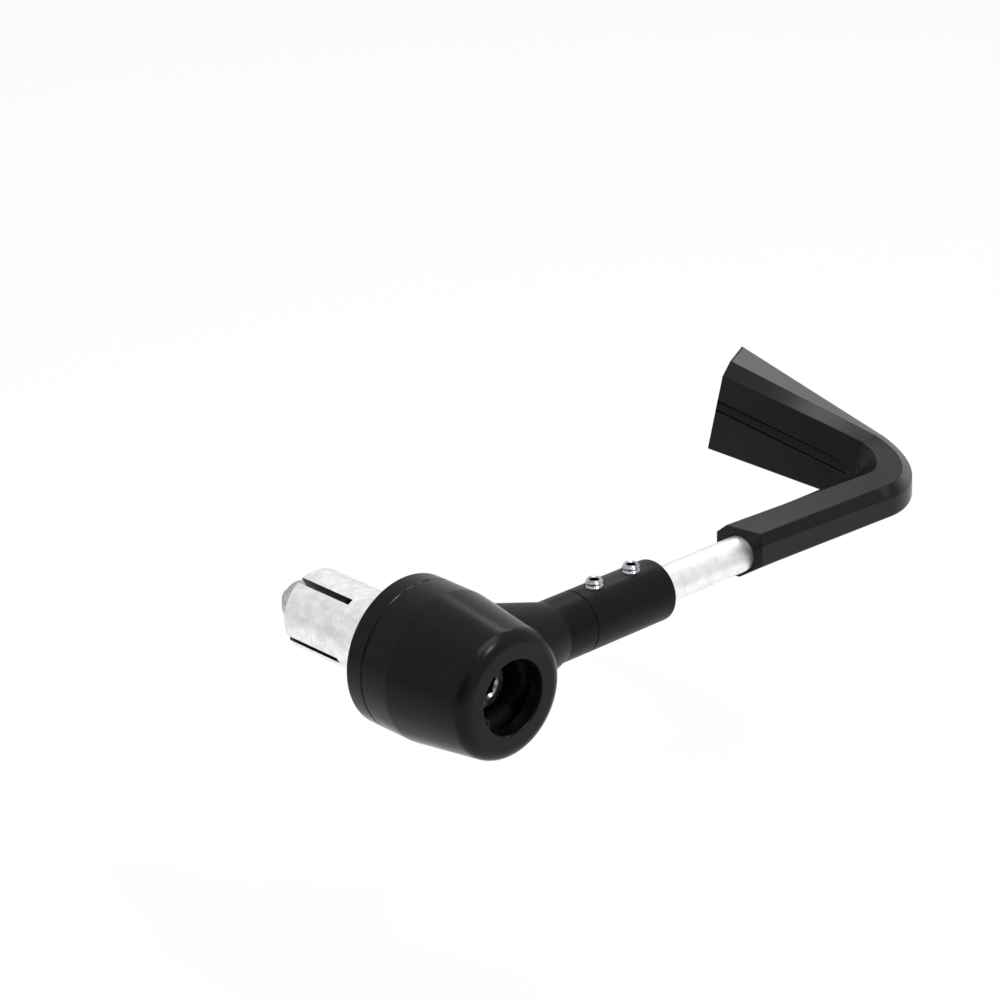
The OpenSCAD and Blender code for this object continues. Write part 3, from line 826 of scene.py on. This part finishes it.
@dataclass
class Arm:
    """The knuckle, the clamp sleeve with its two screws, and the sliding rod."""

    size: Sizes = SIZES

    def build(self) -> None:
        """Builds every piece about the arm's axis."""
        self.knuckle()
        self.sleeve()
        self.screw("fine_rear_clamp_screw", "rear_clamp_screw", self.size.screw_rear_y, 20)
        self.screw("fine_front_clamp_screw", "front_clamp_screw", self.size.screw_front_y, 47)
        self.rod()

    def knuckle(self) -> None:
        """The eye inside the weight, its conical neck and the tube end."""
        z = self.size
        socket = z.joint_y - z.tail_l - 0.4
        neck = rounded([(0, 0, 0), (0, z.neck_r, 0), (z.neck_y, z.neck_r, 0), (z.tube_y, z.tube_r, 0.8),
                        (z.joint_y - 0.2, z.tube_r, 0.1), (z.joint_y, z.tube_r - 0.2, 0.05),
                        (z.joint_y, z.tail_r + 0.02, 0),
                        (socket, z.tail_r + 0.02, 0), (socket, 0, 0)], 6)
        piece = turned("fine_arm_knuckle", neck, Axis.ARM, 160, (z.arm_x, 0))
        eye = rounded([(z.pocket_x - 0.02, 0, 0), (z.pocket_x - 0.02, z.eye_r, 0), (z.eye_out_x, z.eye_r, 0.8),
                       (z.eye_out_x, 0, 0)], 6)
        shaped(piece, [turned("eye", eye, Axis.BAR, 160)], "UNION")
        far = z.arm_x + z.neck_r + 2
        side = box_outline(-30, z.pocket_x, -1, z.shoulder_y)
        shaped(piece, [turned("hole", plain(0, far, z.bolt_bore_r), Axis.BAR, 64, start=0.7),
                       turned("seat", plain(z.seat_x, far, z.seat_r), Axis.BAR, 128, start=0.4),
                       block("side", side, Axis.SCREW, -14, 14)])
        settle(piece, "arm", "arm_knuckle", ARM_BLACK)

    def sleeve(self) -> None:
        """The clamp sleeve with its mouth and the two screw holes."""
        z = self.size
        bore = z.rod_r + 0.07
        outline = rounded([
            (z.joint_y - z.tail_l, bore, 0.1), (z.joint_y - z.tail_l, z.tail_r, 0.3), (z.joint_y, z.tail_r, 0),
            (z.joint_y, z.tube_r - 0.25, 0.05), (z.joint_y + 0.25, z.tube_r, 0.1), (z.sleeve_y, z.tube_r, 0.55),
            (z.sleeve_y, bore, 0.3)], 6)
        piece = turned("fine_clamp_sleeve", outline, Axis.ARM, 160, (z.arm_x, 0))
        holes = []
        for y in (z.screw_rear_y, z.screw_front_y):
            hole = [(0, 0), (0, z.screw_r + 0.02), (z.tube_r - 0.35, z.screw_r + 0.02),
                    (z.tube_r + 0.3, z.screw_r + 0.6), (z.tube_r + 2, z.screw_r + 0.6), (z.tube_r + 2, 0)]
            holes.append(turned("screw_hole", hole, Axis.SCREW, 64, (z.arm_x, y)))
        settle(shaped(piece, holes), "arm", "clamp_sleeve", ARM_BLACK)

    def screw(self, name: str, node: str, y: float, turn: float) -> None:
        """One clamp screw with its thread and hexagon socket.

        Args:
            name: Name of the piece.
            node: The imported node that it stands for.
            y: Its place along the arm in millimetres.
            turn: Angle of the socket in degrees.
        """
        z = self.size
        key = corner_radius(z.screw_key)
        top = z.screw_top_z
        floor = top - z.screw_key_depth
        piece = thread(name, Axis.SCREW, z.screw_r, z.screw_thread, z.screw_pitch, z.screw_tip_z, top,
                       (z.arm_x, y), 0.5)
        lead = [(top - 0.25, 0), (top - 0.25, key - 0.1), (top + 0.1, key + 0.3), (top + 0.1, 0)]
        shaped(piece, [turned("socket", plain(floor, top + 1, key), Axis.SCREW, 6, (z.arm_x, y), turn),
                       turned("lead", lead, Axis.SCREW, 32, (z.arm_x, y))])
        settle(piece, "arm", node, SCREW_METAL, 32)
        # The screw's socket gets painted shade.
        paint_shade_inside(piece, SOCKET_SHADE_METAL, lambda c: math.hypot(c.x - z.arm_x, c.y - y) < key - 0.05
                    and floor - 0.1 < c.z < top - 0.03)

    def rod(self) -> None:
        """The rod that slides in the sleeve and carries the guard, with the flat under the screws."""
        z = self.size
        outline = rounded([(z.rod_y, 0, 0), (z.rod_y, z.rod_r, 0.6), (z.rod_end_y, z.rod_r, 0.3),
                           (z.rod_end_y, 0, 0)], 4)
        piece = turned("fine_reach_rod", outline, Axis.ARM, 128, (z.arm_x, 0))
        flat = box_outline(z.arm_x - 6, z.arm_x + 6, z.rod_y - 1, z.rod_flat_end_y)
        shaped(piece, [block("flat", flat, Axis.SCREW, z.rod_flat_z, 8)])
        settle(piece, "guard", "reach_rod", ROD_METAL)


LOWER_CORNERS = (0.15, -5.65), (-4.55, -6.2), (-6.7, -3.0), (-6.9, 3.15)


@dataclass
class Guard:
    """The moulded guard: a section that changes along an arm, a bend and a grooved blade."""

    size: Sizes = SIZES
    start: tuple[Spot, ...] = ((-4.1, 5.6), (5.9, 6.4), (6.7, 3.7), (6.5, -1.3), *LOWER_CORNERS)
    middle: tuple[Spot, ...] = ((-0.95, 5.95), (4.95, 4.9), (6.95, 2.6), (6.9, -2.2), *LOWER_CORNERS)
    tip: tuple[Spot, ...] = (
        (-2.8, 15.3), (1.25, 17.85), (8.65, 18.6), (12.65, 12.5), (-0.5, -4.4), (-4.15, -4.3))
    roundings: tuple[float, ...] = (0.45, 0.55, 0.55, 0.7, 0.5, 0.4, 0.5, 0.35)
    side_shares: Spot = (0.32, 0.72)
    arm_side: float = 14.4
    # Faces round the section that carry the painted highlight on the upper outer facet.
    highlight_span: range = range(7, 12)
    arm_rings: int = 24
    bend_rings: int = 44
    blade_rings: int = 84
    ring_bunching: float = 1.35

    def corners(self, share: float, along: float = 1.0) -> list[Vector]:
        """Gives the eight corners of the section.

        Args:
            share: Share of the way from arm section to tip section.
            along: Share of the way from the guard's start to the bend.

        Returns:
            The corners: outwards from the path, then height, in millimetres.
        """
        arm = [Vector(a).lerp(Vector(b), along) for a, b in zip(self.start, self.middle)]
        six = [a.lerp(Vector(b), share) for a, b in zip(arm, self.tip)]
        flat = min(1.0, share / self.size.bend_share)
        return six + [arm[6 + k].lerp(six[5].lerp(six[0], height), flat)
                      for k, height in enumerate(self.side_shares)]

    def section(self, share: float, along: float, forward: float = 0.0) -> Outline:
        """Gives the rounded outline of the section with its groove.

        Args:
            share: Share of the way from arm section to tip section.
            along: Share of the way from the guard's start to the bend.
            forward: Distance along the blade in millimetres, which the groove depends on.

        Returns:
            The outline, always with the same number of points.
        """
        c = self.corners(share, along)
        depth, low, top = self.groove(forward, (c[0] - c[5]).length if forward > 0 else self.arm_side)
        # Share of the way up the side, share of the groove's depth, and rounding.
        line = [(low - 0.05, 0.0, 0.12), (low, 0.75, 0.08), (low + 0.04, 0.2, 0.08), (top - 0.07, 0.8, 0.1),
                (top - 0.045, 1.7, 0.08), (top - 0.01, 1.6, 0.08), (top + 0.02, 0.0, 0.1)]
        groove = [(c[6].lerp(c[7], t) + Vector((depth * d, 0.0)), r) for t, d, r in line]
        ordered = [(c[k], self.roundings[k]) for k in range(7)] + groove + [(c[7], self.roundings[7])]
        return self.soft([(p.x, p.y, r) for p, r in ordered])

    @staticmethod
    def soft(corners: list[Point]) -> Outline:
        """Rounds every corner with the same number of points, straight ones too."""
        outline: Outline = []
        for i, (x, y, radius) in enumerate(corners):
            corner = Vector((x, y))
            back = Vector(corners[i - 1][:2]) - corner
            ahead = Vector(corners[(i + 1) % len(corners)][:2]) - corner
            half = max(back.angle(ahead) / 2, 0.2)
            run = min(radius / math.tan(half) if half < 1.5 else 0.15, 0.45 * back.length, 0.45 * ahead.length)
            first, last = corner + back.normalized() * run, corner + ahead.normalized() * run
            for k in range(5):
                t = k / 4
                spot = first * (1 - t) ** 2 + corner * 2 * t * (1 - t) + last * t ** 2
                outline.append((spot.x, spot.y))
        return outline

    def placed(self, spot: Spot, back: float, turn: float, forward: float) -> Point:
        """Carries a point of the section to its station on the path.

        Args:
            spot: Outwards from the path, then height.
            back: Distance before the bend.
            turn: Angle turned so far in degrees.
            forward: Distance after the bend.

        Returns:
            The point in the row frame, in millimetres.
        """
        z = self.size
        r, t = z.bend_r + spot[0], math.radians(turn)
        return (z.arm_x - z.bend_r + r * math.cos(t) - forward * math.sin(t),
                z.bend_y - back + r * math.sin(t) + forward * math.cos(t), spot[1])

    def cut_length(self, spot: Spot) -> float:
        """Distance along the blade to the slanting free end, for a point of the section."""
        z = self.size
        top = self.tip[0]
        return z.blade_l - 3 + z.tip_skew * (spot[0] - top[0]) - z.tip_rake * (spot[1] - top[1])

    def groove(self, forward: float, height: float) -> Point:
        """Gives the groove's depth and its lower and upper edge at a distance along the blade.

        Args:
            forward: Distance along the blade in millimetres.
            height: Height of the blade's inner side there, in millimetres.

        Returns:
            The depth in millimetres, and both edges as shares of the way between the inner side's corners.
        """
        z = self.size
        t = min(1.0, max(0.0, (forward - z.groove_start) / 1.2))
        bow = min(1.0, max(0.0, 1 - (forward - z.groove_start) / z.groove_curve))
        foot, head = self.side_shares
        low, top = ((1 - below / height - foot) / (head - foot) for below in (z.groove_low, z.groove_top))
        low = max(low, 0.08)
        start = low + 0.13
        return z.groove_depth * t * t * (3 - 2 * t), low, start + (top - start) * math.sqrt(1 - bow * bow)

    def rings(self) -> list[list[Point]]:
        """Gives every ring of the skin, from the rod's end to the free end."""
        z = self.size
        rings = []
        length = z.bend_y - z.guard_y
        first = self.section(0, 0)
        for inset, back in ((0.13, length), (0.04, length - 0.04), (0.0, length - 0.13)):
            rings.append([self.placed(q, back, 0, 0) for q in self.drawn_in(first, inset)])
        for k in range(1, self.arm_rings):
            along = k / self.arm_rings
            rings.append([self.placed(q, length * (1 - along), 0, 0) for q in self.section(0, along)])
        for k in range(self.bend_rings + 1):
            part = k / self.bend_rings
            outline = self.section(z.bend_share * part ** 2, 1)
            rings.append([self.placed(q, 0, z.blade_turn * part, 0) for q in outline])
        for k in range(1, self.blade_rings + 1):
            rings.append(self.blade_ring((k / self.blade_rings) ** self.ring_bunching, 0.0))
        rings[-1] = self.blade_ring(1.0, 0.0, 0.2)
        rings.append(self.blade_ring(1.0, 0.05, 0.06))
        rings.append(self.blade_ring(1.0, 0.18, 0.0))
        return rings

    def blade_ring(self, part: float, inset: float, short: float = 0.0) -> list[Point]:
        """Gives one ring of the blade, slanted more and more towards the free end.

        Args:
            part: Share of the way from the bend to the free end.
            inset: How far the ring is drawn in, in millimetres.
            short: How far it stays short of its place, in millimetres.

        Returns:
            The ring's points.
        """
        z = self.size
        count = len(self.section(0.5, 1))
        ring = []
        for i in range(count):
            forward = part * z.blade_l
            for _ in range(4):
                share = z.bend_share + (1 - z.bend_share) * forward / z.blade_l
                outline = self.section(share, 1, forward)
                if inset:
                    outline = self.drawn_in(outline, inset)
                forward = part * self.cut_length(outline[i]) - short
            ring.append(self.placed(outline[i], 0, z.blade_turn, forward))
        return ring

    @staticmethod
    def drawn_in(outline: Outline, inset: float) -> Outline:
        """Moves every point of an outline inwards by a small distance."""
        moved = []
        for i, (x, y) in enumerate(outline):
            here = Vector((x, y))
            before = (here - Vector(outline[i - 1])).normalized()
            after = (Vector(outline[(i + 1) % len(outline)]) - here).normalized()
            along = (before + after).normalized()
            reach = inset / max(0.5, along.dot(after))
            moved.append((x + along.y * reach, y - along.x * reach))
        return moved

    def build(self) -> None:
        """Builds the guard with the hole for the rod."""
        z = self.size
        rings = self.rings()
        count = len(rings[0])
        points = [point for ring in rings for point in ring]
        last = (len(rings) - 1) * count
        faces = [tuple(range(count)), tuple(range(last, last + count)), *strips(len(rings) - 1, count)]
        piece = piece_from("fine_lever_guard", points, faces)
        for finish in (GUARD_NYLON, GUARD_HIGHLIGHT):
            piece.data.materials.append(finish.build())
        # The upper outer facet from the bend on gets the paler finish: a painted highlight where it faces the
        # light.
        for r in range(self.arm_rings + 2, len(rings) - 4):
            for k in self.highlight_span:
                piece.data.polygons[2 + r * count + k].material_index = 1
        bore = [(z.guard_y - 0.5, 0), (z.guard_y - 0.5, z.rod_r + 0.9), (z.guard_y + 0.35, z.rod_r + 0.02),
                (z.rod_end_y + 0.2, z.rod_r + 0.02), (z.rod_end_y + 0.2, 0)]
        shaped(piece, [turned("bore", bore, Axis.ARM, 96, (z.arm_x, 0), 1.3)])
        settle(piece, "guard", "lever_guard", GUARD_NYLON, 24)


@dataclass
class Studio:
    """White floor and background, soft lamps and the camera."""

    focal_px: float = 3142.07
    dark_front: Point = (0.4226, -0.9063, 0.0)
    floor_drop: float = 0.068
    floor_glow: float = 0.88
    room_level: float = 0.5
    mirrored_level: float = 0.85
    camera_shift: Point = (-19.787, 30.595, 648.644)
    camera_rows: tuple[Point, ...] = (
        (0.694186, 0.719782, -0.004433), (0.274422, -0.270346, -0.922825), (-0.665431, 0.639396, -0.385194))

    def camera(self) -> None:
        """Places the camera that sees the object as the picture does."""
        data = bpy.data.cameras.new("studio_camera")
        data.sensor_width = 36
        data.lens = self.focal_px / PHOTO_SIDE * data.sensor_width
        data.clip_start, data.clip_end = 0.05, 20
        camera = in_scene("studio_camera", data)
        turn = Matrix(self.camera_rows)
        shift = Vector(self.camera_shift) * MM
        flip = Matrix.Diagonal((1, -1, -1))
        back = turn.transposed()
        camera.matrix_world = Matrix.Translation(-(back @ shift)) @ (back @ flip).to_4x4()
        bpy.context.scene.camera = camera

    def lamp(self, name: str, place: Point, target: Point, size: Spot, power: float) -> None:
        """Adds one soft rectangular lamp.

        Args:
            name: Name of the lamp.
            place: Where it hangs, in metres.
            target: The point that it faces, in metres.
            size: Its width and height in metres.
            power: Its power in watts.
        """
        data = bpy.data.lights.new(name, "AREA")
        data.shape = "RECTANGLE"
        data.size, data.size_y = size
        data.energy = power
        lamp = in_scene(name, data)
        lamp.location = place
        lamp.rotation_euler = (Vector(target) - Vector(place)).to_track_quat("-Z", "Y").to_euler()

    def floor(self, height: float) -> None:
        """Lays the pale floor under the object.

        Args:
            height: Height of the floor in metres.
        """
        mesh = bpy.data.meshes.new("floor")
        half = 4.0
        corners = [(a, b, height) for a, b in box_outline(-half, half, -half, half)]
        mesh.from_pydata(corners, [], [(0, 1, 2, 3)])
        material = bpy.data.materials.new("white_sweep")
        tree = cleared(material)
        matt = add_node(tree, "BsdfDiffuse", {"Color": linear("#ffffff")})
        glow = add_node(tree, "Emission", {"Color": (1, 1, 1, 1), "Strength": 1.0})
        path = add_node(tree, "LightPath")
        share = add_node(tree, "Math", {1: self.floor_glow}, {0: path.outputs["Is Camera Ray"]},
                         operation="MULTIPLY")
        mix = add_node(tree, "MixShader", links={0: share, 1: matt, 2: glow})
        add_node(tree, "OutputMaterial", links={"Surface": mix})
        mesh.materials.append(material)
        in_scene("floor", mesh)

    def world(self) -> None:
        """Fills the surroundings with soft light, darker in front, and pure white to the camera."""
        world = bpy.data.worlds.new("studio")
        bpy.context.scene.world = world
        tree = cleared(world)
        path = add_node(tree, "LightPath").outputs
        clear = path["Is Camera Ray"]
        for kind in ("Is Glossy Ray", "Is Transmission Ray"):
            clear = add_node(tree, "Math", links={0: clear, 1: path[kind]}, operation="MAXIMUM")
        seen = add_node(tree, "MapRange", {"To Min": self.room_level, "To Max": self.mirrored_level},
                        {"Value": clear})
        white = add_node(tree, "Math", {1: 1 - self.mirrored_level},
                         {0: path["Is Camera Ray"], 2: seen}, operation="MULTIPLY_ADD")
        where = add_node(tree, "TexCoord")
        front = add_node(tree, "VectorMath", {1: self.dark_front}, {0: where.outputs["Generated"]},
                         operation="DOT_PRODUCT")
        span = {"From Min": 0.72, "From Max": 0.93, "To Min": 1.0, "To Max": 0.12}
        dim = add_node(tree, "MapRange", span, {"Value": front.outputs["Value"]})
        kept = add_node(tree, "Math", links={0: dim, 1: path["Is Camera Ray"]},
                        operation="MAXIMUM")
        level = add_node(tree, "Math", links={0: white, 1: kept},
                         operation="MULTIPLY")
        light = add_node(tree, "Background", {"Color": (1, 1, 1, 1)},
                         {"Strength": level})
        add_node(tree, "OutputWorld", links={"Surface": light})

    def build(self, low: float) -> None:
        """Sets up everything round the object.

        Args:
            low: Height of the object's lowest point in metres.
        """
        self.camera()
        self.floor(low - self.floor_drop)
        self.world()
        self.lamp("overhead_softbox", (0.05, 0.05, 0.85), (0, 0.06, 0), (0.6, 0.6), 3.4)
        self.lamp("front_strip", (0.5, 0.06, 0.66), (0.02, 0, 0), (0.16, 0.24), 2.3)
        self.lamp("back_softbox", (-0.32, 0.61, 0.67), (-0.02, 0.13, 0), (0.34, 0.2), 0.9)
        bpy.context.scene.view_settings.view_transform = "Standard"


def main() -> None:
    """Builds the pieces and the studio in order."""
    logging.basicConfig(level=logging.INFO, format="%(message)s")
    BarEnd().build()
    Arm().build()
    Guard().build()
    Studio().build(CAD_BOX[0][2])


if __name__ == "__main__":
    main()
